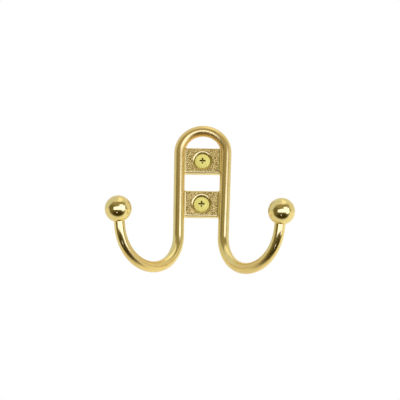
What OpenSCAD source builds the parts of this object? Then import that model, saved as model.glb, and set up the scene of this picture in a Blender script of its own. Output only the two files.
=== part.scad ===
// Double robe hook: one brass-plated casting and the two screws that hold it to the wall.
// The wall is the plane y = 0, the room lies at -Y and up is +Z.
// The origin is on the wall plane, half-way between the two screw holes.

/* [Rod] */
// Diameter of the round rod that the arch, the legs and the arms are cast as
rod_d = 5; // [4:0.1:6.5]
// Depth of the flat that the wall side takes off the rod
wall_flat = 0.45; // [0.2:0.05:1]

/* [Arch and legs] */
// Distance between the centres of the two screw holes
hole_pitch = 20.7; // [17:0.1:28]
// Radius of the arch, to the centre line of the rod
arch_r = 10.65; // [9.5:0.05:14]
// Height of the arch's centre above the upper screw hole
arch_rise = 3.95; // [2:0.05:8]
// Angle at which each leg leans inwards on its way down
leg_lean = 0.89; // [0:0.01:2]
// Height from the start of the bend up to the lower screw hole
leg_drop = 15; // [9:0.05:22]

/* [Arms] */
// Angle between each arm and the wall, seen from above
arm_splay = 44.74; // [35:0.01:60]
// Radius of the bend that turns the leg down and out, to the centre line
drop_bend_r = 17.5; // [12:0.1:24]
// Radius of the bend that turns the arm up again, to the centre line
rise_bend_r = 19.2; // [12:0.1:24]
// Angle that the arm turns through on its way up
rise_angle = 73.1; // [65:0.1:85]
// Angle at which the arm leans out of its plane on its way up, away from the wall
rise_tilt = 10; // [0:0.5:16]
// Straight length from the last bend to the centre of the ball
tip_len = 7.65; // [6.5:0.05:14]
// How far the rising bend, and then the straight tip, is set in from the rod before it, all round
arm_step = 0.08; // [0.02:0.01:0.2]
// Diameter of the ball at the end of each arm
ball_d = 11.5; // [8:0.1:14]

/* [Cross plates] */
// Height of each plate, along the legs
plate_h = 12.2; // [10.5:0.1:15]
// Thickness of each plate, out from the wall
plate_t = 2.7; // [2.3:0.05:3.6]
// Radius of the rounded front edges of each plate
plate_edge_r = 0.7; // [0.3:0.05:1.5]

/* [Screw holes] */
// Angle across the countersink and the underside of the screw head
sink_angle = 90; // [80:1:100]
// How much wider the countersink is than the screw head, all round
sink_margin = 0.62; // [0.6:0.02:1]
// How far the eased rim of the countersink reaches, over the plate and down the cone
rim_ease = 0.2; // [0.05:0.05:0.3]
// Gap all round between the hole and the screw's thread
bore_clear = 0.6; // [0.3:0.05:1]

/* [Screws] */
// Length from the rim of the head to the tip
screw_len = 16; // [12:0.5:30]
// Diameter of the head
head_d = 7; // [6:0.1:8]
// Height of the straight edge round the head
head_land = 0.25; // [0.1:0.05:0.5]
// Height of the dome on the head
head_dome = 1; // [0.5:0.05:1.6]
// Diameter over the thread
thread_d = 3.5; // [3:0.1:4.2]
// Diameter of the plain neck under the head
neck_d = 2.9; // [2.4:0.1:2.9]
// Distance from the wall plane to the start of the thread
thread_start = 0.3; // [0.1:0.05:1]
// Length of the pointed end
point_len = 4; // [2.5:0.1:6]
// How far each screw hangs below the centre of its hole
screw_sag = 0.47; // [0:0.01:0.58]
// Gap between the head and the countersink where they are closest
seat_gap = 0.05; // [0.03:0.01:0.15]
// Width across the cross recess in the head
recess_w = 3; // [2.4:0.1:3.8]
// Width of each arm of the cross recess
recess_arm = 0.85; // [0.6:0.05:1.1]
// Depth of the cross recess, from the top of the dome
recess_depth = 1.8; // [1.2:0.05:2.2]

/* [Hidden] */

// Shared by every cut that has to pass its surface
overrun = 1;
// Facets of the preview mesh
$fn = 96;

rod_r = rod_d / 2;
rod_y = wall_flat - rod_r;
hole_z = hole_pitch / 2;

// Each leg starts where the arch has turned past the horizontal by the lean
arch_z = hole_z + arch_rise;
leg_top_z = arch_z - arch_r * sin(leg_lean);
leg_end_z = -hole_z - leg_drop;
leg_len = (leg_top_z - leg_end_z) / cos(leg_lean);

// The arm thins in two steps, and each thinner length starts inside the one before it
rise_d = rod_d - 2 * arm_step;
tip_d = rise_d - 2 * arm_step;
joint_lead = 0.5;

// Share of the rod's radius left between a plate's end and the leg's centre line
plate_end_share = 0.5;
plate_half_w = arch_r - rod_r * plate_end_share;

head_r = head_d / 2;
half_sink = sink_angle / 2;
bore_d = thread_d + 2 * bore_clear;
sink_r = head_r + sink_margin;
sink_depth = (sink_r - bore_d / 2) / tan(half_sink);

// A screw that hangs low rides forward, where the foot of its head's straight edge meets the countersink
sink_reach = (sink_margin - screw_sag) / tan(half_sink);
head_y = -plate_t + sink_reach - head_land - seat_gap / sin(half_sink);
head_cone_h = (head_r - neck_d / 2) / tan(half_sink);
dome_r = (head_r * head_r + head_dome * head_dome) / (2 * head_dome);
recess_core_share = 0.45;

// A bend in the XZ plane about the origin, from angle start through angle turn
module rod_bend(radius, start, turn, thickness = rod_d) {
    rotate([90, 0, 0])
        rotate([0, 0, start])
            rotate_extrude(angle = turn)
                translate([radius, 0])
                    circle(d = thickness);
}

// Takes off what would reach behind the wall plane, from a rod in place
module against_wall() {
    half_w = arch_r + rod_d;
    low_z = leg_end_z - drop_bend_r - rod_d;
    high_z = arch_z + arch_r + rod_d;
    difference() {
        translate([0, rod_y, 0])
            children();
        translate([-half_w, 0, low_z])
            cube([2 * half_w, rod_d, high_z - low_z]);
    }
}

// Where the arch ends and a leg starts: the arch's centre, turned by the leg's lean
module leg_frame() {
    translate([0, 0, arch_z])
        rotate([0, leg_lean, 0])
            children();
}

module arch() {
    against_wall()
        leg_frame()
            rod_bend(arch_r, 0, 180 + 2 * leg_lean);
}

module leg() {
    against_wall()
        leg_frame()
            translate([arch_r, 0, -leg_len])
                cylinder(h = leg_len, d = rod_d);
}

module arm() {
    against_wall()
        leg_frame()
            translate([arch_r, 0, -leg_len])
                rotate([0, 0, -arm_splay]) {
                    translate([drop_bend_r, 0, 0])
                        rod_bend(drop_bend_r, 180, 90);
                    translate([drop_bend_r, 0, -drop_bend_r])
                        rotate([rise_tilt, 0, 0])
                            arm_rise();
                }
}

// The arm from its lowest point, at the origin, bent up in the XZ plane towards +X
module arm_rise() {
    lead_angle = asin(joint_lead / rise_bend_r);
    translate([0, 0, rise_bend_r]) {
        rod_bend(rise_bend_r, 270 - lead_angle, rise_angle + lead_angle, rise_d);
        rotate([0, -rise_angle, 0])
            translate([-joint_lead, 0, -rise_bend_r])
                rotate([0, 90, 0]) {
                    cylinder(h = joint_lead + tip_len, d = tip_d);
                    translate([0, 0, joint_lead + tip_len])
                        sphere(d = ball_d);
                }
    }
}

// Section of a cross plate: depth along X, height along Y, front corners rounded
module plate_section() {
    corner_x = plate_edge_r - plate_t;
    corner_y = plate_h / 2 - plate_edge_r;
    translate([corner_x, -plate_h / 2])
        square([-corner_x, plate_h]);
    translate([-plate_t, -corner_y])
        square([plate_t, 2 * corner_y]);
    for (side = [-1, 1])
        translate([corner_x, side * corner_y])
            circle(r = plate_edge_r);
}

module cross_plate() {
    rotate([90, 0, 90])
        linear_extrude(height = 2 * plate_half_w, center = true)
            plate_section();
}

// Countersink with its eased rim, and bore, from the front of a plate towards the wall
module screw_hole() {
    rim_slope = (1 + sin(half_sink)) / cos(half_sink);
    rotate([-90, 0, 0])
        rotate_extrude()
            polygon([
                [0, -plate_t - overrun],
                [sink_r + rim_ease + overrun * rim_slope, -plate_t - overrun],
                [sink_r - rim_ease * sin(half_sink), rim_ease * cos(half_sink) - plate_t],
                [bore_d / 2, sink_depth - plate_t],
                [bore_d / 2, overrun],
                [0, overrun]
            ]);
}

module hook_casting() {
    color("gold")
        difference() {
            union() {
                arch();
                for (side = [0, 1])
                    mirror([side, 0, 0]) {
                        leg();
                        arm();
                    }
                for (side = [-1, 1])
                    translate([0, 0, side * hole_z])
                        cross_plate();
            }
            for (side = [-1, 1])
                translate([0, 0, side * hole_z])
                    screw_hole();
        }
}

// Cross recess: four tapering arms round a conical core, open at the top of the dome
module cross_recess() {
    core_r = recess_w / 2;
    foot_r = core_r * recess_core_share;
    intersection() {
        translate([0, 0, -overrun])
            cylinder(h = overrun + recess_depth, r1 = core_r + (core_r - foot_r) * overrun / recess_depth,
                     r2 = foot_r);
        for (turn = [0, 90])
            rotate([0, 0, turn])
                translate([-recess_w, -recess_arm / 2, -overrun])
                    cube([2 * recess_w, recess_arm, 2 * overrun + recess_depth]);
    }
}

// One screw along +Z from the rim of its head to its tip, with the dome below z = 0
module screw() {
    difference() {
        union() {
            intersection() {
                translate([0, 0, dome_r - head_dome])
                    sphere(r = dome_r);
                translate([0, 0, -head_dome])
                    cylinder(h = head_dome, r = head_r);
            }
            rotate_extrude()
                polygon([
                    [0, 0],
                    [head_r, 0],
                    [head_r, head_land],
                    [neck_d / 2, head_land + head_cone_h],
                    [neck_d / 2, thread_start - head_y],
                    [thread_d / 2, thread_start - head_y],
                    [thread_d / 2, screw_len - point_len],
                    [0, screw_len]
                ]);
        }
        translate([0, 0, -head_dome])
            cross_recess();
    }
}

module mounting_screws() {
    color("khaki")
        for (side = [-1, 1])
            translate([0, head_y, side * hole_z - screw_sag])
                rotate([-90, 0, 0])
                    screw();
}

hook_casting();
mounting_screws();
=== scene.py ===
"""Looks of the double robe hook: a polished, brass-plated casting and its two yellow screws.

Lengths inside the classes are in millimetres and are turned to metres when a mesh is finished.
The wall is the plane y = 0, the room lies at -Y and up is +Z.
"""
import logging
import math
from dataclasses import dataclass
from enum import Enum

import bmesh
import bpy
from mathutils import Matrix, Vector


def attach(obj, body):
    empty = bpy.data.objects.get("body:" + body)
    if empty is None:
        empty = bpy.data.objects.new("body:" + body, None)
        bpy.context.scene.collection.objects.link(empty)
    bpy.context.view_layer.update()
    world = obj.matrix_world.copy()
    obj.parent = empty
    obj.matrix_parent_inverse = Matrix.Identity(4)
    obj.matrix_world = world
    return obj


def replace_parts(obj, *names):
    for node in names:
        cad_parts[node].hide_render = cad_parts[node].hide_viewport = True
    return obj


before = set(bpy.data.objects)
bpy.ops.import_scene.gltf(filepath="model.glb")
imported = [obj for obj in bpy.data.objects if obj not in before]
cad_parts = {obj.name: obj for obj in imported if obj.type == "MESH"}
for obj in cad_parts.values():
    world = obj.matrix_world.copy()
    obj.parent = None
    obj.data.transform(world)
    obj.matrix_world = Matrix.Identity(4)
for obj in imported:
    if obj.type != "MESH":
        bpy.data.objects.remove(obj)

LOG = logging.getLogger("robe_hook")
MM = 0.001
# Two places closer than this are the same, and a point closer than the second lies on the wall, in millimetres
CLOSE = 1e-4
ON_WALL = 1e-5
# Height of the upper screw hole above the origin, and of the lower one below it
HOLE_Z = 10.35
BODY = "root"
WALL_NORMAL = Vector((0.0, 1.0, 0.0))
# Attribute of the rod's points: how satin the plating is
SATIN = "satin"


class Slot(Enum):
    """The record's material slots."""

    CASTING = "plated_casting"
    SCREW = "plated_screw"


def linear_colour(hex_code: str) -> tuple[float, float, float, float]:
    """Turn an sRGB hex colour into linear light.

    Args:
        hex_code: The colour, such as "E8C873".

    Returns:
        Red, green, blue and alpha, from 0 to 1.
    """
    channels = [int(hex_code[i:i + 2], 16) / 255.0 for i in (0, 2, 4)]
    red, green, blue = (
        c / 12.92 if c <= 0.04045 else ((c + 0.055) / 1.055) ** 2.4 for c in channels
    )
    return red, green, blue, 1.0


def add_node(
    tree: bpy.types.NodeTree,
    kind: str,
    settings: dict[str | int, object] | None = None,
    links: dict[str | int, bpy.types.NodeSocket] | None = None,
) -> bpy.types.Node:
    """Add one node to a tree, with its settings and its links.

    Args:
        tree: The node tree.
        kind: The node's type name.
        settings: Values by the name or number of an input, or by the name of a property.
        links: Output sockets by the name or number of the input that they feed.

    Returns:
        The new node.
    """
    node = tree.nodes.new(kind)
    for name, value in (settings or {}).items():
        if isinstance(name, int) or name in node.inputs:
            node.inputs[name].default_value = value
        else:
            setattr(node, name, value)
    feed(tree, node, links or {})
    return node


def feed(tree: bpy.types.NodeTree, node: bpy.types.Node, links: dict[str | int, bpy.types.NodeSocket]) -> None:
    """Link outputs to the inputs of a node.

    Args:
        tree: The node tree.
        node: The node.
        links: Output sockets by the name or number of the input that they feed.
    """
    for name, socket in links.items():
        tree.links.new(socket, node.inputs[name])


def start_finish(
    name: str, metallic: float
) -> tuple[bpy.types.Material, bpy.types.NodeTree, bpy.types.Node, bpy.types.NodeSocket]:
    """Start a finish.

    Args:
        name: The material's name.
        metallic: The share of bare metal, from 0 to 1.

    Returns:
        The material, its node tree, its shader, and the place on the object in metres.
    """
    material = bpy.data.materials.new(name)
    material.use_nodes = True
    tree = material.node_tree
    shader = tree.nodes["Principled BSDF"]
    shader.inputs["Metallic"].default_value = metallic
    return material, tree, shader, add_node(tree, "ShaderNodeTexCoord").outputs["Object"]


def ramp(value: float, start: float, end: float) -> float:
    """Find how far a value has come on its way.

    Args:
        value: The value.
        start: Where the share is 0.
        end: Where the share is 1, above or below the start.

    Returns:
        The share, from 0 to 1.
    """
    return min(max((value - start) / (end - start), 0.0), 1.0)


def extrude_line(
    bm: bmesh.types.BMesh, line: list[bmesh.types.BMEdge]
) -> tuple[list[bmesh.types.BMVert], list[bmesh.types.BMEdge]]:
    """Draw out a line of edges. The new line still lies on the old one.

    Args:
        bm: The mesh.
        line: The edges.

    Returns:
        The vertices and the edges of the new line.
    """
    done = bmesh.ops.extrude_edge_only(bm, edges=line)["geom"]
    verts = [g for g in done if isinstance(g, bmesh.types.BMVert)]
    ends = set(verts)
    return verts, [g for g in done if isinstance(g, bmesh.types.BMEdge) and set(g.verts) <= ends]


def mark_sharp(bm: bmesh.types.BMesh, angle: float) -> None:
    """Shade every face smooth and every edge that turns by more than an angle sharp.

    Args:
        bm: The mesh.
        angle: The limit in degrees.
    """
    for face in bm.faces:
        face.smooth = True
    for edge in bm.edges:
        edge.smooth = edge.calc_face_angle(0.0) < math.radians(angle)


def finish_piece(
    bm: bmesh.types.BMesh, name: str, materials: list[bpy.types.Material], sharp: float = 40.0
) -> bpy.types.Object:
    """Turn a mesh in millimetres into a piece of the object, which rides on the hook's body.

    Args:
        bm: The mesh, which is freed.
        name: The piece's name.
        materials: Its finishes, by the material index of its faces.
        sharp: The angle in degrees past which an edge is drawn sharp.

    Returns:
        The piece.
    """
    bmesh.ops.scale(bm, vec=(MM, MM, MM), verts=bm.verts)
    mark_sharp(bm, sharp)
    mesh = bpy.data.meshes.new(name)
    bm.to_mesh(mesh)
    bm.free()
    for material in materials:
        mesh.materials.append(material)
    piece = bpy.data.objects.new(name, mesh)
    bpy.context.scene.collection.objects.link(piece)
    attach(piece, BODY)
    LOG.info("%s: %d faces", name, len(mesh.polygons))
    return piece


@dataclass(frozen=True)
class PolishedBrassPlating:
    """Bright brass plating over a buffed zinc casting.

    A mirror with a warm straw tint, slightly wavy from the wheel and a little uneven in gloss. Where the wheel
    couldn't reach, inside the arch and between the legs, it is satin and more orange.
    """

    name: str = "polished_brass_plating"
    tint: str = "EFDC91"
    deep_tint: str = "E4CB7E"
    satin_tint: str = "F0CA76"
    roughness: float = 0.12
    satin_roughness: float = 0.48
    wave_mm: float = 3.0
    haze_mm: float = 1.2
    grain_mm: float = 0.5
    relief_mm: float = 0.05
    wave_strength: float = 0.12

    def build(self) -> bpy.types.Material:
        """Make the material and return it."""
        material, tree, shader, place = start_finish(self.name, metallic=1.0)
        satin = add_node(tree, "ShaderNodeAttribute", {"attribute_name": SATIN}).outputs["Fac"]
        # Buffing waves: shallow hollows a few millimetres across
        wave = add_node(tree, "ShaderNodeTexNoise",
                        {"Scale": 1.0 / (self.wave_mm * MM), "Detail": 1.0}, {"Vector": place})
        # Plating haze: patches about a millimetre across
        haze = add_node(tree, "ShaderNodeTexNoise",
                        {"Scale": 1.0 / (self.haze_mm * MM), "Detail": 3.0}, {"Vector": place})
        # Skin of the casting, where it wasn't buffed
        grain = add_node(tree, "ShaderNodeTexNoise",
                         {"Scale": 1.0 / (self.grain_mm * MM), "Detail": 3.0}, {"Vector": place})
        gloss = add_node(tree, "ShaderNodeMapRange",
                         {"From Min": 0.3, "From Max": 0.7, "To Min": self.roughness * 0.7,
                          "To Max": self.roughness * 1.3}, {"Value": haze.outputs["Fac"]})
        rough = add_node(tree, "ShaderNodeMix", {"B": self.satin_roughness},
                         {"Factor": satin, "A": gloss.outputs["Result"]})
        tone = add_node(tree, "ShaderNodeMix",
                        {"data_type": "RGBA", 6: linear_colour(self.tint), 7: linear_colour(self.deep_tint)},
                        {0: wave.outputs["Fac"]})
        tint = add_node(tree, "ShaderNodeMix", {"data_type": "RGBA", 7: linear_colour(self.satin_tint)},
                        {0: satin, 6: tone.outputs[2]})
        buffed = add_node(tree, "ShaderNodeBump", {"Strength": self.wave_strength, "Distance": self.relief_mm * MM},
                          {"Height": wave.outputs["Fac"]})
        skin = add_node(tree, "ShaderNodeBump", {"Distance": self.relief_mm * MM},
                        {"Strength": satin, "Height": grain.outputs["Fac"], "Normal": buffed.outputs["Normal"]})
        feed(tree, shader, {"Base Color": tint.outputs[2], "Roughness": rough.outputs["Result"],
                            "Normal": skin.outputs["Normal"]})
        return material


@dataclass(frozen=True)
class AsCastBrassPlating:
    """Brass plating over the skin of the casting, which no wheel reached.

    The plating follows the grain of the die, so that it looks brown and glints in light flecks.
    """

    name: str = "as_cast_brass_plating"
    tint: str = "FFE48A"
    deep_tint: str = "8E7230"
    roughness: float = 0.24
    grain_mm: float = 0.42
    mottle_mm: float = 1.5
    mottle_share: float = 0.35
    relief_mm: float = 0.16

    def build(self) -> bpy.types.Material:
        """Make the material and return it."""
        material, tree, shader, place = start_finish(self.name, metallic=1.0)
        grain = add_node(tree, "ShaderNodeTexNoise",
                         {"Scale": 1.0 / (self.grain_mm * MM), "Detail": 2.0, "Roughness": 0.6}, {"Vector": place})
        mottle = add_node(tree, "ShaderNodeTexNoise",
                          {"Scale": 1.0 / (self.mottle_mm * MM), "Detail": 2.0}, {"Vector": place})
        both = add_node(tree, "ShaderNodeMath", {"operation": "MULTIPLY_ADD", 1: self.mottle_share},
                        {0: mottle.outputs["Fac"], 2: grain.outputs["Fac"]})
        tone_share = add_node(tree, "ShaderNodeMapRange", {"From Min": 0.5, "From Max": 0.76},
                              {"Value": both.outputs[0]})
        tone = add_node(tree, "ShaderNodeMix",
                        {"data_type": "RGBA", 6: linear_colour(self.deep_tint), 7: linear_colour(self.tint)},
                        {0: tone_share.outputs["Result"]})
        gloss = add_node(tree, "ShaderNodeMapRange",
                         {"From Min": 0.35, "From Max": 0.65, "To Min": self.roughness * 0.75,
                          "To Max": self.roughness * 1.25}, {"Value": grain.outputs["Fac"]})
        bump = add_node(tree, "ShaderNodeBump", {"Strength": 1.0, "Distance": self.relief_mm * MM},
                        {"Height": grain.outputs["Fac"]})
        feed(tree, shader, {"Base Color": tone.outputs[2], "Roughness": gloss.outputs["Result"],
                            "Normal": bump.outputs["Normal"]})
        return material


@dataclass(frozen=True)
class YellowPlatedSteel:
    """Bright yellow plating on a rolled steel screw, under a cloudy passivation film.

    Paler and flatter than the hook, with the fine specks that barrel plating leaves.
    """

    name: str = "yellow_plated_steel"
    tint: str = "FFF68E"
    deep_tint: str = "F4E67A"
    metallic: float = 0.2
    roughness: float = 0.6
    speck_mm: float = 0.5
    relief_mm: float = 0.04

    def build(self) -> bpy.types.Material:
        """Make the material and return it."""
        material, tree, shader, place = start_finish(self.name, self.metallic)
        speck = add_node(tree, "ShaderNodeTexNoise",
                         {"Scale": 1.0 / (self.speck_mm * MM), "Detail": 3.0}, {"Vector": place})
        tone = add_node(tree, "ShaderNodeMix",
                        {"data_type": "RGBA", 6: linear_colour(self.tint), 7: linear_colour(self.deep_tint)},
                        {0: speck.outputs["Fac"]})
        gloss = add_node(tree, "ShaderNodeMapRange",
                         {"From Min": 0.35, "From Max": 0.65, "To Min": self.roughness * 0.8,
                          "To Max": self.roughness * 1.2}, {"Value": speck.outputs["Fac"]})
        bump = add_node(tree, "ShaderNodeBump", {"Strength": 0.6, "Distance": self.relief_mm * MM},
                        {"Height": speck.outputs["Fac"]})
        feed(tree, shader, {"Base Color": tone.outputs[2], "Roughness": gloss.outputs["Result"],
                            "Normal": bump.outputs["Normal"]})
        return material


@dataclass(frozen=True)
class PaintedShadeFinish:
    """Painted shade for the countersunk holes and the cross recesses: a dull olive brown with a soft sheen that stands
    in for the shade down in them.
    """

    name: str = "painted_shade_finish"
    # Colours of the painted shade, mottled at random
    tint: str = "C4B254"
    deep_tint: str = "7C6C2C"
    metallic: float = 0.5
    roughness: float = 0.5
    stain_mm: float = 0.6

    def build(self) -> bpy.types.Material:
        """Make the material and return it."""
        material, tree, shader, place = start_finish(self.name, self.metallic)
        stain = add_node(tree, "ShaderNodeTexNoise",
                         {"Scale": 1.0 / (self.stain_mm * MM), "Detail": 2.0}, {"Vector": place})
        tone = add_node(tree, "ShaderNodeMix",
                        {"data_type": "RGBA", 6: linear_colour(self.deep_tint), 7: linear_colour(self.tint)},
                        {0: stain.outputs["Fac"]})
        gloss = add_node(tree, "ShaderNodeMapRange",
                         {"From Min": 0.35, "From Max": 0.65, "To Min": self.roughness * 0.8,
                          "To Max": self.roughness * 1.2}, {"Value": stain.outputs["Fac"]})
        feed(tree, shader, {"Base Color": tone.outputs[2], "Roughness": gloss.outputs["Result"]})
        return material


@dataclass
class RodBackbone:
    """The round rod: arch, legs and arms in one run, with the flat that lies on the wall, and the two balls."""

    rod_d: float = 5.0
    wall_flat: float = 0.45
    arch_r: float = 10.65
    arch_z: float = 14.3
    leg_lean: float = 0.89
    leg_end_z: float = -25.35
    arm_splay: float = 44.74
    drop_bend_r: float = 17.5
    rise_bend_r: float = 19.2
    rise_angle: float = 73.1
    rise_tilt: float = 10.0
    tip_len: float = 7.65
    arm_step: float = 0.08
    ball_d: float = 11.5
    ring_facets: int = 72
    bend_step: float = 2.5
    # How satin the plating is over the arch, under the bends and on the inner side of the legs
    arch_satin: float = 0.42
    bend_satin: float = 0.4
    leg_satin: float = 0.3
    # Heights at which the satin of the arch, of the bends and of the legs starts and is in full
    arch_satin_z: tuple[float, float] = (7.0, 16.0)
    bend_satin_z: tuple[float, float] = (-36.0, -41.0)
    leg_satin_z: tuple[float, float] = (-25.35, -17.35)
    # How squarely the surface faces inwards where the inner satin starts and is in full
    inner_satin_facing: tuple[float, float] = (0.3, 0.8)

    @property
    def rod_r(self) -> float:
        """Radius of the rod."""
        return self.rod_d / 2

    @property
    def rod_y(self) -> float:
        """Depth of the rod's centre line, in front of the wall."""
        return self.wall_flat - self.rod_r

    @property
    def lean(self) -> float:
        """Lean of a leg, in radians."""
        return math.radians(self.leg_lean)

    @property
    def leg_frame(self) -> Matrix:
        """Frame of the right leg, with its origin where the leg ends."""
        run = Vector((self.leg_top.x - self.leg_len * math.sin(self.lean), self.rod_y, self.leg_end_z))
        return Matrix.Translation(run) @ Matrix.Rotation(self.lean, 4, "Y")

    @property
    def leg_top(self) -> Vector:
        """Where the arch passes into the right leg."""
        return Vector((self.arch_r * math.cos(self.lean), self.rod_y,
                       self.arch_z - self.arch_r * math.sin(self.lean)))

    @property
    def leg_len(self) -> float:
        """Length of a leg."""
        return (self.leg_top.z - self.leg_end_z) / math.cos(self.lean)

    @property
    def arm_frame(self) -> Matrix:
        """Frame of the right arm, which bends down in its own XZ plane towards its +X."""
        return self.leg_frame @ Matrix.Rotation(-math.radians(self.arm_splay), 4, "Z")

    @property
    def rise_frame(self) -> Matrix:
        """Frame at the arm's lowest point, from which it bends up in its own XZ plane."""
        lowest = Matrix.Translation((self.drop_bend_r, 0.0, -self.drop_bend_r))
        return self.arm_frame @ lowest @ Matrix.Rotation(math.radians(self.rise_tilt), 4, "X")

    def leg_x(self, height: float) -> float:
        """Find the right leg's centre line.

        Args:
            height: Height above the origin.

        Returns:
            The distance from the middle of the hook.
        """
        return self.leg_top.x - (self.leg_top.z - height) * math.tan(self.lean)

    def bend(
        self, bm: bmesh.types.BMesh, ring: list[bmesh.types.BMEdge], centre: Vector, axis: Vector, turn: float,
        thinner: float = 0.0,
    ) -> list[bmesh.types.BMEdge]:
        """Carry the rod round a bend.

        Args:
            bm: The mesh.
            ring: The rod's open end.
            centre: Centre of the bend.
            axis: Axis that it turns about.
            turn: Angle in degrees.
            thinner: How much the rod's radius loses on the way.

        Returns:
            The new open end.
        """
        steps = math.ceil(turn / self.bend_step)
        share = (1 - thinner / self.rod_r) ** (1 / steps)
        for _ in range(steps):
            verts = list(dict.fromkeys(v for e in ring for v in e.verts))
            done = bmesh.ops.spin(bm, geom=ring + verts, cent=centre, axis=axis, angle=math.radians(turn / steps),
                                  steps=1, use_merge=False)
            ring = [g for g in done["geom_last"] if isinstance(g, bmesh.types.BMEdge)]
            verts = list(dict.fromkeys(v for e in ring for v in e.verts))
            middle = sum((v.co for v in verts), Vector()) / len(verts)
            bmesh.ops.scale(bm, vec=(share, share, share), space=Matrix.Translation(-middle), verts=verts)
        return ring

    def run_straight(
        self, bm: bmesh.types.BMesh, ring: list[bmesh.types.BMEdge], way: Vector
    ) -> list[bmesh.types.BMEdge]:
        """Carry the rod straight on.

        Args:
            bm: The mesh.
            ring: The rod's open end.
            way: How far and where it goes.

        Returns:
            The new open end.
        """
        verts, ring = extrude_line(bm, ring)
        bmesh.ops.translate(bm, vec=way, verts=verts)
        return ring

    def mark_satin(self, bm: bmesh.types.BMesh) -> None:
        """Note on each vertex how satin it is: in part over the arch and under the bends, in full inside the arch.

        Args:
            bm: The finished rod.
        """
        bm.normal_update()
        satin = bm.verts.layers.float.new(SATIN)
        for vert in bm.verts:
            height = vert.co.z
            out = Vector((vert.co.x, 0.0, max(height - self.arch_z, 0.0))).normalized()
            inward = ramp(-out.dot(vert.normal), *self.inner_satin_facing)
            above = ramp(height, *self.arch_satin_z)
            below = ramp(height, *self.bend_satin_z)
            leg = ramp(height, *self.leg_satin_z) if abs(vert.co.x) < self.arch_r else 0.0
            inner = (self.leg_satin + (1 - self.leg_satin) * above) * leg * inward
            vert[satin] = max(self.arch_satin * above, self.bend_satin * below, inner)

    def build(self, material: bpy.types.Material) -> bpy.types.Object:
        """Make the rod with its balls.

        Args:
            material: The polished plating.

        Returns:
            The piece.
        """
        bm = bmesh.new()
        start = Matrix.Translation((0.0, self.rod_y, self.arch_z + self.arch_r)) @ Matrix.Rotation(
            math.pi / 2, 4, "Y")
        bmesh.ops.create_circle(bm, cap_ends=False, radius=self.rod_r, segments=self.ring_facets, matrix=start)
        ring = self.bend(bm, list(bm.edges), Vector((0.0, self.rod_y, self.arch_z)), WALL_NORMAL,
                         90.0 + self.leg_lean)
        turned = self.leg_frame.to_3x3()
        ring = self.run_straight(bm, ring, turned @ Vector((0.0, 0.0, -self.leg_len)))
        arm, rise = self.arm_frame, self.rise_frame
        ring = self.bend(bm, ring, arm @ Vector((self.drop_bend_r, 0.0, 0.0)),
                         arm.to_3x3() @ Vector((0.0, -1.0, 0.0)), 90.0, self.arm_step)
        ring = self.bend(bm, ring, rise @ Vector((0.0, 0.0, self.rise_bend_r)),
                         rise.to_3x3() @ Vector((0.0, -1.0, 0.0)), self.rise_angle, self.arm_step)
        turn = math.radians(self.rise_angle)
        reach = self.rise_bend_r * Vector((math.sin(turn), 0.0, 1 - math.cos(turn)))
        heading = Vector((math.cos(turn), 0.0, math.sin(turn)))
        ring = self.run_straight(bm, ring, rise.to_3x3() @ (heading * self.tip_len))
        bmesh.ops.contextual_create(bm, geom=ring)
        bmesh.ops.create_icosphere(bm, subdivisions=5, radius=self.ball_d / 2,
                                   matrix=Matrix.Translation(rise @ (reach + heading * self.tip_len)))
        bmesh.ops.mirror(bm, geom=bm.verts[:] + bm.edges[:] + bm.faces[:], axis="X", merge_dist=CLOSE)
        cut = bmesh.ops.bisect_plane(bm, geom=bm.verts[:] + bm.edges[:] + bm.faces[:], dist=ON_WALL,
                                     plane_co=(0.0, 0.0, 0.0), plane_no=WALL_NORMAL, clear_outer=True)
        rim = [g for g in cut["geom_cut"] if isinstance(g, bmesh.types.BMEdge)]
        bmesh.ops.triangle_fill(bm, use_beauty=True, edges=rim, normal=WALL_NORMAL)
        bmesh.ops.recalc_face_normals(bm, faces=bm.faces)
        self.mark_satin(bm)
        piece = finish_piece(bm, "hook_rod", [material])
        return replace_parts(piece, "hook_casting")


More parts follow.
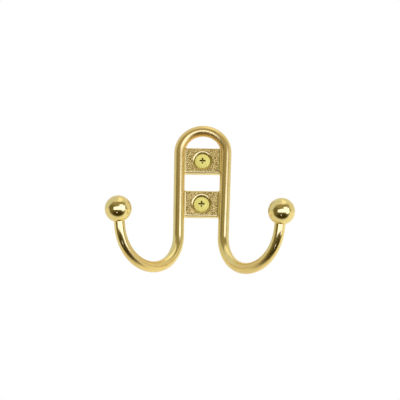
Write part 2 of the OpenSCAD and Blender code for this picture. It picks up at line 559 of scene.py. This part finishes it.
@dataclass
class CrossPlate:
    """One plate between the legs, with its countersunk hole and the fillets where it runs into the legs."""

    rod: RodBackbone
    name: str
    centre_z: float
    height: float = 12.2
    thickness: float = 2.7
    edge_r: float = 0.7
    fillet_r: float = 0.8
    sink_r: float = 4.12
    cone_angle: float = 45.0
    bore_r: float = 2.35
    bore_ease: float = 0.1
    # Radius to which buffing has rolled the rim of the countersink
    rim_roll: float = 1.3
    # Cells of the front's grid, and the steps of its rounded parts
    cell: float = 0.5
    cells_by_hole: int = 10
    end_steps: int = 3
    edge_steps: int = 6
    fillet_steps: int = 8
    rim_steps: int = 9
    # How far each end runs into its leg
    overlap: float = 0.04
    # How far down the countersink, and how much of the edges and fillets, the wheel reaches; below it the hole gets
    # painted shade
    buffed_rim: float = 0.3
    buffed_edge_share: float = 1.05
    buffed_fillet_share: float = 0.9

    @property
    def clear(self) -> float:
        """Half the side of the square that is left open round the hole."""
        return self.cell * self.cells_by_hole

    @property
    def half_w(self) -> float:
        """Half the plate's width at its middle, up to the leg's flank."""
        return self.rod.leg_x(self.centre_z) - self.rod.rod_r

    def flank_x(self, depth: float, height: float) -> float:
        """Find the inner flank of the right leg.

        Args:
            depth: Place along Y.
            height: Place along Z.

        Returns:
            The flank's distance from the middle of the hook.
        """
        off = depth - self.rod.rod_y
        return self.rod.leg_x(height) - math.sqrt(max(self.rod.rod_r ** 2 - off * off, 0.0))

    def section(self) -> list[Vector]:
        """List the plate's section from its upper back edge over the front to its lower back edge, at x = 0."""
        corner_y = self.edge_r - self.thickness
        corner_z = self.height / 2 - self.edge_r
        upper = [Vector((0.0, 0.0, self.height / 2)), Vector((0.0, corner_y / 2, self.height / 2))]
        for k in range(self.edge_steps + 1):
            turn = math.pi / 2 * (1 - k / self.edge_steps)
            upper.append(Vector((0.0, corner_y - self.edge_r * math.cos(turn),
                                 corner_z + self.edge_r * math.sin(turn))))
        rows = math.ceil(corner_z / self.cell) - 1
        front = [Vector((0.0, -self.thickness, self.cell * k)) for k in range(rows, -rows - 1, -1)]
        lower = [Vector((0.0, p.y, -p.z)) for p in reversed(upper)]
        return upper + front + lower

    def out_of_face(self, depth: float, height: float) -> Vector:
        """Find which way the plate's surface looks.

        Args:
            depth: Place along Y.
            height: Place along Z, from the plate's middle.

        Returns:
            The unit normal, square to X.
        """
        corner_y = self.edge_r - self.thickness
        corner_z = self.height / 2 - self.edge_r
        out = Vector((0.0, min(depth - corner_y, 0.0), math.copysign(max(abs(height) - corner_z, 0.0), height)))
        if depth >= corner_y:
            out = Vector((0.0, 0.0, math.copysign(1.0, height)))
        return out.normalized()

    def columns(self) -> list[float]:
        """List where the section stands along X, from the middle of the plate to the leg."""
        columns = [self.cell * k for k in range(self.cells_by_hole + 1)]
        fillet_foot = self.half_w - self.fillet_r
        columns += [self.clear + (fillet_foot - self.clear) * k / self.end_steps
                    for k in range(1, self.end_steps + 1)]
        columns += [self.half_w - self.fillet_r * (1 - math.sin(math.pi / 2 * k / self.fillet_steps))
                    for k in range(1, self.fillet_steps + 1)]
        return columns

    def run_into_leg(self, vert: bmesh.types.BMVert) -> None:
        """Raise the fillet beside a leg and bring the plate's end up to the leg's round flank.

        Args:
            vert: A vertex of the plate's front, top or bottom.
        """
        side, gap = math.copysign(1.0, vert.co.x), self.half_w - abs(vert.co.x)
        if abs(vert.co.x) <= self.clear + CLOSE:
            return
        inset = min(max(self.fillet_r - gap, 0.0), self.fillet_r)
        rise = self.fillet_r - math.sqrt(max(self.fillet_r ** 2 - inset ** 2, 0.0))
        raised = vert.co + rise * self.out_of_face(vert.co.y, vert.co.z)
        share = (abs(vert.co.x) - self.clear) / (self.half_w - self.clear)
        flank = self.flank_x(raised.y, raised.z + self.centre_z) + self.overlap
        vert.co = (side * (self.clear + share * (flank - self.clear)), raised.y, raised.z)

    def hole_section(self) -> list[Vector]:
        """List the section of the countersunk hole, from its rolled rim to the wall plane, at z = 0."""
        front = -self.thickness
        cone = math.radians(self.cone_angle)
        points = []
        for k in range(self.rim_steps + 1):
            turn = cone * k / self.rim_steps
            points.append(Vector((self.sink_r + self.rim_roll * (math.tan(cone / 2) - math.sin(turn)),
                                  front + self.rim_roll * (1 - math.cos(turn)), 0.0)))
        foot = front + self.sink_r - self.bore_r
        points += [Vector((self.bore_r + self.bore_ease, foot - self.bore_ease, 0.0)),
                   Vector((self.bore_r, foot + self.bore_ease / 2, 0.0)), Vector((self.bore_r, 0.0, 0.0))]
        return points

    def turn_on_square(self, x: float, z: float) -> float:
        """Spread the border of a square evenly round a circle: each side becomes a quarter.

        Args:
            x: Place of a point on the border.
            z: Its height.

        Returns:
            The point's angle on the circle, in radians.
        """
        if abs(x) > abs(z) - CLOSE:
            return math.pi / 4 * z / x + (0.0 if x > 0 else math.pi)
        return (math.pi / 2 if z > 0 else -math.pi / 2) - math.pi / 4 * x / z

    def sink_hole(self, bm: bmesh.types.BMesh, ring: list[bmesh.types.BMEdge]) -> None:
        """Carry the border of the square opening inwards, ring by ring, over the rim and down the hole.

        Args:
            bm: The plate's mesh.
            ring: The border of the opening.
        """
        for number, point in enumerate(self.hole_section()):
            verts, ring = extrude_line(bm, ring)
            for vert in verts:
                x, z = vert.co.x, vert.co.z
                turn = self.turn_on_square(x, z) if number == 0 else math.atan2(z, x)
                vert.co = (point.x * math.cos(turn), point.y, point.x * math.sin(turn))

    def mark_finishes(self, bm: bmesh.types.BMesh) -> None:
        """Give the rounded edges, the fillets and the rim of the hole the buffed finish, and paint shade down the
        hole.

        Args:
            bm: The plate's mesh, before its back is closed.
        """
        rim_r = self.hole_section()[0].x
        for face in bm.faces:
            middle = face.calc_center_median()
            radius = math.hypot(middle.x, middle.z)
            if radius < self.sink_r - self.buffed_rim:
                # Painted shade down the countersink and the bore, below the buffed rim
                face.material_index = 2
            elif (radius < rim_r or abs(middle.z) > self.height / 2 - self.buffed_edge_share * self.edge_r
                  or abs(middle.x) > self.half_w - self.buffed_fillet_share * self.fillet_r):
                face.material_index = 1

    def build(
        self, skin: bpy.types.Material, buffed: bpy.types.Material, painted_shade: bpy.types.Material
    ) -> bpy.types.Object:
        """Make the plate.

        Args:
            skin: The as-cast plating of its faces.
            buffed: The polished plating of its rounded edges, its fillets and the rim of the hole.
            painted_shade: The dark olive brown that paints the shade down in the hole.

        Returns:
            The piece.
        """
        bm = bmesh.new()
        verts = [bm.verts.new(p) for p in self.section()]
        line = [bm.edges.new(pair) for pair in zip(verts, verts[1:])]
        places = self.columns()
        for here, there in zip(places, places[1:]):
            verts, line = extrude_line(bm, line)
            bmesh.ops.translate(bm, vec=(there - here, 0.0, 0.0), verts=verts)
        bmesh.ops.mirror(bm, geom=bm.verts[:] + bm.edges[:] + bm.faces[:], axis="X", merge_dist=CLOSE)
        centres = {f: f.calc_center_median() for f in bm.faces}
        open_faces = [f for f, centre in centres.items() if centre.y < CLOSE - self.thickness
                      and max(abs(centre.x), abs(centre.z)) < self.clear]
        bmesh.ops.delete(bm, geom=open_faces, context="FACES")
        border = [e for e in bm.edges if e.is_boundary and all(
            v.co.y < CLOSE - self.thickness and max(abs(v.co.x), abs(v.co.z)) < self.clear + CLOSE for v in e.verts)]
        for vert in bm.verts:
            self.run_into_leg(vert)
        self.sink_hole(bm, border)
        self.mark_finishes(bm)
        rear = [v for v in bm.verts if abs(v.co.y) < ON_WALL and abs(v.co.z) > self.height / 2 - CLOSE]
        for side in (-1, 1):
            bm.edges.new([max((v for v in rear if half * v.co.z > 0), key=lambda v: side * v.co.x)
                          for half in (-1, 1)])
        back = [e for e in bm.edges if all(abs(v.co.y) < ON_WALL for v in e.verts)
                and (e.is_boundary or e.is_wire)]
        bmesh.ops.triangle_fill(bm, use_beauty=True, edges=back, normal=WALL_NORMAL)
        bmesh.ops.holes_fill(bm, edges=[e for e in bm.edges if e.is_boundary], sides=0)
        bmesh.ops.recalc_face_normals(bm, faces=bm.faces)
        bmesh.ops.translate(bm, vec=(0.0, 0.0, self.centre_z), verts=bm.verts)
        piece = finish_piece(bm, self.name, [skin, buffed, painted_shade], sharp=50.0)
        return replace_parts(piece, "hook_casting")


@dataclass
class RaisedHeadScrew:
    """A raised countersunk wood screw with a cross recess, drawn along +Z from the rim of its head to its tip."""

    name: str
    hole_z: float
    sag: float = 0.47
    head_y: float = -2.8707
    head_r: float = 3.5
    head_land: float = 0.25
    head_dome: float = 1.0
    rim_round: float = 0.12
    neck_r: float = 1.45
    crest_r: float = 1.75
    root_r: float = 1.2
    thread_y: float = 0.3
    thread_pitch: float = 1.4
    length: float = 16.0
    point_len: float = 4.0
    recess_w: float = 3.0
    recess_arm: float = 0.85
    recess_depth: float = 1.8
    # How much less deep the four arms of the recess are than its core, and what is left of them at their floor
    arm_rise: float = 0.3
    arm_floor_shares: tuple[float, float, float] = (0.8, 0.75, 1.0)
    # Radii of the four-sided core at the top and at the bottom
    core_radii: tuple[float, float] = (1.0, 0.75)
    # How far the cutter stands out of the dome
    overrun: float = 0.6
    # How gently the cone passes into the neck, and the neck into the thread's root
    cone_ease: float = 0.15
    neck_ease: float = 0.25
    root_ease: float = 0.35
    # Half the thread's width at its root and at its crest, and how deep the root lies in the shank
    thread_half_root: float = 0.36
    thread_half_crest: float = 0.04
    thread_sunk: float = 0.1
    # Where the thread ends, before the tip, and what is left of its radius there
    thread_end: float = 0.5
    thread_end_share: float = 0.06
    dome_steps: int = 14
    tip_steps: int = 12
    turn_facets: int = 72
    thread_facets: int = 28

    @property
    def dome_r(self) -> float:
        """Radius of the sphere that the dome is cut from."""
        return (self.head_r ** 2 + self.head_dome ** 2) / (2 * self.head_dome)

    @property
    def thread_z(self) -> float:
        """Where the thread starts, from the rim of the head."""
        return self.thread_y - self.head_y

    def taper(self, z: float) -> float:
        """Find how much of the shank's radius is left in the pointed end.

        Args:
            z: Distance from the rim of the head.

        Returns:
            The share of the radius, from 0 to 1.
        """
        return min(max((self.length - z) / self.point_len, 0.0), 1.0)

    def body_section(self) -> list[Vector]:
        """List the section of the head and the shank, from the top of the dome to the tip, at y = 0."""
        dome_r = self.dome_r
        full = math.asin(self.head_r / dome_r)
        rim_share = 1 - self.rim_round / self.head_r
        points = []
        for k in range(self.dome_steps + 1):
            turn = full * rim_share * k / self.dome_steps
            points.append(Vector((dome_r * math.sin(turn), 0.0, dome_r - self.head_dome - dome_r * math.cos(turn))))
        points.append(Vector((self.head_r - 0.3 * self.rim_round, 0.0, 0.35 * self.rim_round)))
        points.append(Vector((self.head_r, 0.0, self.rim_round)))
        cone_foot = self.head_land + self.head_r - self.neck_r
        points += [Vector((self.head_r, 0.0, self.head_land)),
                   Vector((self.neck_r + self.cone_ease, 0.0, cone_foot - self.cone_ease)),
                   Vector((self.neck_r, 0.0, cone_foot + self.neck_ease)),
                   Vector((self.neck_r, 0.0, self.thread_z - self.thread_sunk)),
                   Vector((self.root_r, 0.0, self.thread_z + self.root_ease))]
        for k in range(self.tip_steps):
            z = self.length - self.point_len * (1 - k / self.tip_steps)
            points.append(Vector((self.root_r * self.taper(z) ** 0.85, 0.0, z)))
        points.append(Vector((0.0, 0.0, self.length)))
        return points

    def add_thread(self, bm: bmesh.types.BMesh) -> None:
        """Wind the thread round the shank.

        Args:
            bm: The screw's mesh.
        """
        start = self.thread_z + self.thread_half_root
        run = self.length - self.thread_end - start
        turns = run / self.thread_pitch
        steps = round(turns * self.thread_facets)
        root_r = self.root_r - self.thread_sunk
        corners = [bm.verts.new((root_r, 0.0, start - self.thread_half_root)),
                   bm.verts.new((self.crest_r, 0.0, start - self.thread_half_crest)),
                   bm.verts.new((self.crest_r, 0.0, start + self.thread_half_crest)),
                   bm.verts.new((root_r, 0.0, start + self.thread_half_root))]
        outline = [bm.edges.new((corners[k], corners[(k + 1) % 4])) for k in range(4)]
        before = set(bm.verts) - set(corners)
        done = bmesh.ops.spin(bm, geom=corners + outline, cent=(0.0, 0.0, 0.0), axis=(0.0, 0.0, 1.0),
                              dvec=(0.0, 0.0, run / steps), angle=2 * math.pi * turns, steps=steps)
        last = [g for g in done["geom_last"] if isinstance(g, bmesh.types.BMEdge)]
        bmesh.ops.contextual_create(bm, geom=outline)
        bmesh.ops.contextual_create(bm, geom=last)
        for vert in [v for v in bm.verts if v not in before]:
            radius = math.hypot(vert.co.x, vert.co.y)
            grown = min((vert.co.z - self.thread_z) / self.thread_pitch, 1.0)
            crest = self.root_r + (self.crest_r - self.root_r) * max(grown, 0.0)
            share = min(radius, crest) / radius * max(self.taper(vert.co.z), self.thread_end_share)
            vert.co.x *= share
            vert.co.y *= share

    def recess_cutter(self) -> bpy.types.Object:
        """Make the tool that leaves the cross recess: two crossed, tapering blades."""
        bm = bmesh.new()
        above, blade_depth = self.overrun, self.recess_depth - self.arm_rise
        for turn in (0.0, math.pi / 2):
            made = bmesh.ops.create_cube(bm, size=1.0)["verts"]
            bmesh.ops.scale(bm, vec=(self.recess_w, self.recess_arm, blade_depth + above), verts=made)
            floor = [v for v in made if v.co.z > 0]
            bmesh.ops.scale(bm, vec=self.arm_floor_shares, verts=floor)
            bmesh.ops.translate(bm, vec=(0.0, 0.0, (blade_depth - above) / 2 - self.head_dome), verts=made)
            bmesh.ops.rotate(bm, cent=(0.0, 0.0, 0.0), matrix=Matrix.Rotation(turn, 3, "Z"), verts=made)
        top_r, foot_r = self.core_radii
        core = bmesh.ops.create_cone(bm, cap_ends=True, segments=4, radius1=top_r, radius2=foot_r,
                                     depth=self.recess_depth + above)["verts"]
        bmesh.ops.translate(bm, vec=(0.0, 0.0, (self.recess_depth - above) / 2 - self.head_dome), verts=core)
        mesh = bpy.data.meshes.new("recess_cutter")
        bm.to_mesh(mesh)
        bm.free()
        cutter = bpy.data.objects.new("recess_cutter", mesh)
        bpy.context.scene.collection.objects.link(cutter)
        return cutter

    def cut_recess(self, bm: bmesh.types.BMesh) -> None:
        """Take the cross recess out of the head.

        Args:
            bm: The screw's mesh, which is changed.
        """
        cutter = self.recess_cutter()
        mesh = bpy.data.meshes.new("blank")
        bm.to_mesh(mesh)
        blank = bpy.data.objects.new("blank", mesh)
        bpy.context.scene.collection.objects.link(blank)
        cut = blank.modifiers.new("recess", "BOOLEAN")
        cut.operation = "DIFFERENCE"
        cut.solver = "EXACT"
        cut.use_self = True
        cut.object = cutter
        graph = bpy.context.evaluated_depsgraph_get()
        carved = bpy.data.meshes.new_from_object(blank.evaluated_get(graph), depsgraph=graph)
        bm.clear()
        bm.from_mesh(carved)
        for thing in (blank, cutter):
            bpy.data.objects.remove(thing)
        bpy.data.meshes.remove(carved)

    def mark_recess(self, bm: bmesh.types.BMesh) -> None:
        """Paint shade on the arms of the cross recess, but not on the bottom of its core, with the second material.

        Args:
            bm: The screw's mesh, with its recess.
        """
        for face in bm.faces:
            middle = face.calc_center_median()
            depth = self.dome_r - (middle - Vector((0.0, 0.0, self.dome_r - self.head_dome))).length
            if depth > 0.02 and middle.z < 1.2 and 0.2 < math.hypot(middle.x, middle.y) < 0.6 * self.recess_w:
                # Painted shade on the walls and floors of the recess's arms
                face.material_index = 1

    def build(self, plating: bpy.types.Material, painted_shade_finish: bpy.types.Material) -> bpy.types.Object:
        """Make the screw and put it in its hole.

        Args:
            plating: The yellow plating.
            painted_shade_finish: The painted shade down in the recess.

        Returns:
            The piece.
        """
        bm = bmesh.new()
        points = [bm.verts.new(p) for p in self.body_section()]
        profile = [bm.edges.new(pair) for pair in zip(points, points[1:])]
        bmesh.ops.spin(bm, geom=points + profile, cent=(0.0, 0.0, 0.0), axis=(0.0, 0.0, 1.0),
                       angle=2 * math.pi, steps=self.turn_facets, use_merge=True)
        bmesh.ops.remove_doubles(bm, verts=bm.verts, dist=1e-4)
        bmesh.ops.recalc_face_normals(bm, faces=bm.faces)
        self.cut_recess(bm)
        self.mark_recess(bm)
        self.add_thread(bm)
        bmesh.ops.recalc_face_normals(bm, faces=bm.faces)
        place = Matrix.Translation((0.0, self.head_y, self.hole_z - self.sag)) @ Matrix.Rotation(
            -math.pi / 2, 4, "X")
        bmesh.ops.transform(bm, matrix=place, verts=bm.verts)
        piece = finish_piece(bm, self.name, [plating, painted_shade_finish], sharp=30.0)
        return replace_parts(piece, "mounting_screws")


@dataclass(frozen=True)
class Edge:
    """A straight, blurred edge of a card, on whose inner side side_part * side + rise_part * rise > at, in degrees."""

    side_part: float
    rise_part: float
    at: float
    soft: float = 5.0


@dataclass(frozen=True)
class Oval:
    """A blurred oval outline, in degrees, with the blur as a share of its size."""

    side: float
    rise: float
    half_w: float
    half_h: float
    soft: float = 0.15


@dataclass(frozen=True)
class Card:
    """A card or lamp in the room, placed by the angles to the side of and above the photograph's line of sight."""

    colour: str
    strength: float = 1.0
    edges: tuple[Edge, ...] = ()
    oval: Oval | None = None

    def outline(
        self, tree: bpy.types.NodeTree, side: bpy.types.NodeSocket, rise: bpy.types.NodeSocket
    ) -> bpy.types.NodeSocket:
        """Mask the directions in which the card is seen.

        Args:
            tree: The world's node tree.
            side: Angle to the side, in degrees.
            rise: Angle upwards, in degrees.

        Returns:
            A value that is 1 on the card and 0 beside it.
        """
        masks = []
        for edge in self.edges:
            part = add_node(tree, "ShaderNodeMath", {"operation": "MULTIPLY", 1: edge.side_part}, {0: side})
            place = add_node(tree, "ShaderNodeMath", {"operation": "MULTIPLY_ADD", 1: edge.rise_part},
                             {0: rise, 2: part.outputs[0]})
            masks.append(add_node(tree, "ShaderNodeMapRange",
                                  {"interpolation_type": "SMOOTHSTEP", "From Min": edge.at - edge.soft / 2,
                                   "From Max": edge.at + edge.soft / 2}, {"Value": place.outputs[0]}).outputs[0])
        if self.oval:
            far = add_node(tree, "ShaderNodeCombineXYZ", {}, {
                name: add_node(tree, "ShaderNodeMath", {"operation": "MULTIPLY_ADD", 1: 1 / size, 2: -centre / size},
                               {0: angle}).outputs[0]
                for name, angle, centre, size in (("X", side, self.oval.side, self.oval.half_w),
                                                  ("Y", rise, self.oval.rise, self.oval.half_h))
            })
            reach = add_node(tree, "ShaderNodeVectorMath", {"operation": "LENGTH"}, {0: far.outputs[0]})
            masks.append(add_node(tree, "ShaderNodeMapRange",
                                  {"interpolation_type": "SMOOTHSTEP", "From Min": 1 - self.oval.soft,
                                   "From Max": 1 + self.oval.soft, "To Min": 1.0, "To Max": 0.0},
                                  {"Value": reach.outputs["Value"]}).outputs[0])
        whole = masks[0]
        for mask in masks[1:]:
            whole = add_node(tree, "ShaderNodeMath", {"operation": "MULTIPLY"}, {0: whole, 1: mask}).outputs[0]
        return whole

    def hang(
        self, tree: bpy.types.NodeTree, room: bpy.types.NodeSocket, side: bpy.types.NodeSocket,
        rise: bpy.types.NodeSocket,
    ) -> bpy.types.NodeSocket:
        """Hang the card in the room.

        Args:
            tree: The world's node tree.
            room: The room's colour so far.
            side: Angle to the side, in degrees.
            rise: Angle upwards, in degrees.

        Returns:
            The room's colour with the card in it.
        """
        lit = tuple(self.strength * c for c in linear_colour(self.colour)[:3]) + (1.0,)
        return add_node(tree, "ShaderNodeMix", {"data_type": "RGBA", 7: lit},
                        {0: self.outline(tree, side, rise), 6: room}).outputs[2]


@dataclass
class Studio:
    """Floor, camera and light: a white room with dark cards and one large window of light round the camera."""

    azimuth: float = 1.56
    elevation: float = -18.15
    roll: float = 1.39
    distance: float = 500.0
    shift: float = 0.83
    aim_z: float = -7.8
    lens: float = 99.0
    floor_z: float = -250.0
    floor_half: float = 3000.0
    room_colour: str = "F0EFEE"
    cards: tuple[Card, ...] = (
        # Cool daylight on the left-hand wall
        Card("E6EBF4", 0.97, edges=(Edge(-1, 0, 60, 50), Edge(1, 0, -165, 30))),
        # The dark half of the room, behind the camera
        Card("7A7356", oval=Oval(-1, -2, 83, 62, 0.1)),
        # Its darker ground
        Card("453C1C", oval=Oval(0, -42, 58, 26, 0.4)),
        # Its paler ceiling
        Card("A29981", oval=Oval(8, 43, 78, 18, 0.25)),
        # Bright walls low on both sides of it
        Card("FFFFFF", 1.05, edges=(Edge(1, 0, 68, 14), Edge(0, -1, 0, 10))),
        Card("F2F1F0", 1, edges=(Edge(-1, 0, 77, 10), Edge(0, -1, 0, 10))),
        # Lamp overhead, to the right
        Card("FFFFFF", 1.2, edges=(Edge(1, 0, 0, 60), Edge(0, 1, 65, 8))),
        # The large window of light, which leans up to the right
        Card("C7CDFF", 2.85, edges=(Edge(1, 0, -35, 8), Edge(-1, 0, -67, 8), Edge(0.2, -1, -21), Edge(-0.2, -1, -38),
                                   Edge(0, 1, -8, 4))),
        # Upper part of the window
        Card("C7CDFF", 2.85, edges=(Edge(1, 0, 16, 6), Edge(-1, 0, -52, 14), Edge(0, 1, 12), Edge(0, -1, -37))),
        # Lower right-hand part of the window
        Card("C7CDFF", 2.85, edges=(Edge(1, 0, 37), Edge(-1, 0, -60), Edge(0, -1, 9), Edge(0, 1, -16))),
        # Small lamp below it
        Card("C7CDFF", 4, oval=Oval(-6, -31, 3.5, 3.5, 0.5)),
    )

    def axes(self) -> tuple[Vector, Vector, Vector]:
        """Find the directions to the right, up and towards the camera, as seen in the photo's frame."""
        a, e = math.radians(self.azimuth), math.radians(self.elevation)
        back = Vector((math.sin(a) * math.cos(e), -math.cos(a) * math.cos(e), math.sin(e)))
        right = Vector((math.cos(a), math.sin(a), 0.0))
        return right, back.cross(right), back

    def place_camera(self) -> None:
        """Put the camera at the photograph's viewing angle."""
        right, up, back = self.axes()
        turn = math.radians(self.roll)
        rolled_right = right * math.cos(turn) + up * math.sin(turn)
        rolled_up = up * math.cos(turn) - right * math.sin(turn)
        spot = (back * self.distance - rolled_right * self.shift + Vector((0.0, 0.0, self.aim_z))) * MM
        camera = bpy.data.cameras.new("camera")
        camera.lens = self.lens
        camera.sensor_width = 36.0
        camera.clip_start = 0.01
        holder = bpy.data.objects.new("camera", camera)
        rotation = Matrix((rolled_right, rolled_up, back)).transposed().to_4x4()
        holder.matrix_world = Matrix.Translation(spot) @ rotation
        bpy.context.scene.collection.objects.link(holder)
        bpy.context.scene.camera = holder

    def lay_floor(self) -> None:
        """Lay the pale floor, which shows the object's shadow but isn't mirrored in the metal."""
        bm = bmesh.new()
        bmesh.ops.create_grid(bm, x_segments=1, y_segments=1, size=self.floor_half * MM,
                              matrix=Matrix.Translation((0.0, 0.0, self.floor_z * MM)))
        mesh = bpy.data.meshes.new("floor")
        bm.to_mesh(mesh)
        bm.free()
        material = bpy.data.materials.new("pale_floor")
        material.use_nodes = True
        shader = material.node_tree.nodes["Principled BSDF"]
        shader.inputs["Base Color"].default_value = linear_colour("F4F3F0")
        shader.inputs["Roughness"].default_value = 0.9
        mesh.materials.append(material)
        floor = bpy.data.objects.new("floor", mesh)
        floor.visible_glossy = False
        bpy.context.scene.collection.objects.link(floor)

    def light_room(self) -> None:
        """Make the world: white to the camera, and the photograph's cards and window of light to the metal."""
        world = bpy.data.worlds.new("studio")
        bpy.context.scene.world = world
        world.use_nodes = True
        tree = world.node_tree
        tree.nodes.clear()
        way = add_node(tree, "ShaderNodeTexCoord").outputs["Generated"]
        right, up, back = (
            add_node(tree, "ShaderNodeVectorMath", {"operation": "DOT_PRODUCT", 1: axis}, {0: way}).outputs["Value"]
            for axis in self.axes()
        )
        side = add_node(tree, "ShaderNodeMath", {"operation": "ARCTAN2"}, {0: right, 1: back}).outputs[0]
        rise = add_node(tree, "ShaderNodeMath", {"operation": "ARCSINE"}, {0: up}).outputs[0]
        side, rise = (
            add_node(tree, "ShaderNodeMath", {"operation": "MULTIPLY", 1: math.degrees(1.0)}, {0: a}).outputs[0]
            for a in (side, rise)
        )
        room = add_node(tree, "ShaderNodeRGB").outputs[0]
        # Pale walls, where no card hangs
        room.default_value = linear_colour(self.room_colour)
        for card in self.cards:
            room = card.hang(tree, room, side, rise)
        path = add_node(tree, "ShaderNodeLightPath")
        seen = add_node(tree, "ShaderNodeMath", {"operation": "MAXIMUM"},
                        {0: path.outputs["Is Camera Ray"], 1: path.outputs["Is Transmission Ray"]}).outputs[0]
        fill = add_node(tree, "ShaderNodeMix", {"data_type": "RGBA", 6: (0.9, 0.9, 0.9, 1.0)},
                        {0: path.outputs["Is Glossy Ray"], 7: room}).outputs[2]
        shown = add_node(tree, "ShaderNodeMix", {"data_type": "RGBA", 7: (1.0, 1.0, 1.0, 1.0)},
                         {0: seen, 6: fill}).outputs[2]
        light = add_node(tree, "ShaderNodeBackground", {"Strength": 1.0}, {"Color": shown})
        add_node(tree, "ShaderNodeOutputWorld", {}, {"Surface": light.outputs["Background"]})

    def build(self) -> None:
        """Set up the whole studio."""
        bpy.context.scene.view_settings.view_transform = "Standard"
        self.place_camera()
        self.lay_floor()
        self.light_room()


def main() -> None:
    """Build the studio and every piece, and log how many faces each piece has."""
    logging.basicConfig(level=logging.INFO, format="%(name)s: %(message)s")
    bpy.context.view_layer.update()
    Studio().build()
    polished = PolishedBrassPlating().build()
    as_cast = AsCastBrassPlating().build()
    yellow = YellowPlatedSteel().build()
    # Painted shade for the holes and the recesses
    painted_shade = PaintedShadeFinish().build()
    rod = RodBackbone()
    rod.build(polished)
    for name, height in (("upper", HOLE_Z), ("lower", -HOLE_Z)):
        CrossPlate(rod, f"{name}_cross_plate", height).build(as_cast, polished, painted_shade)
        RaisedHeadScrew(f"{name}_screw", height).build(yellow, painted_shade)


if __name__ == "__main__":
    main()
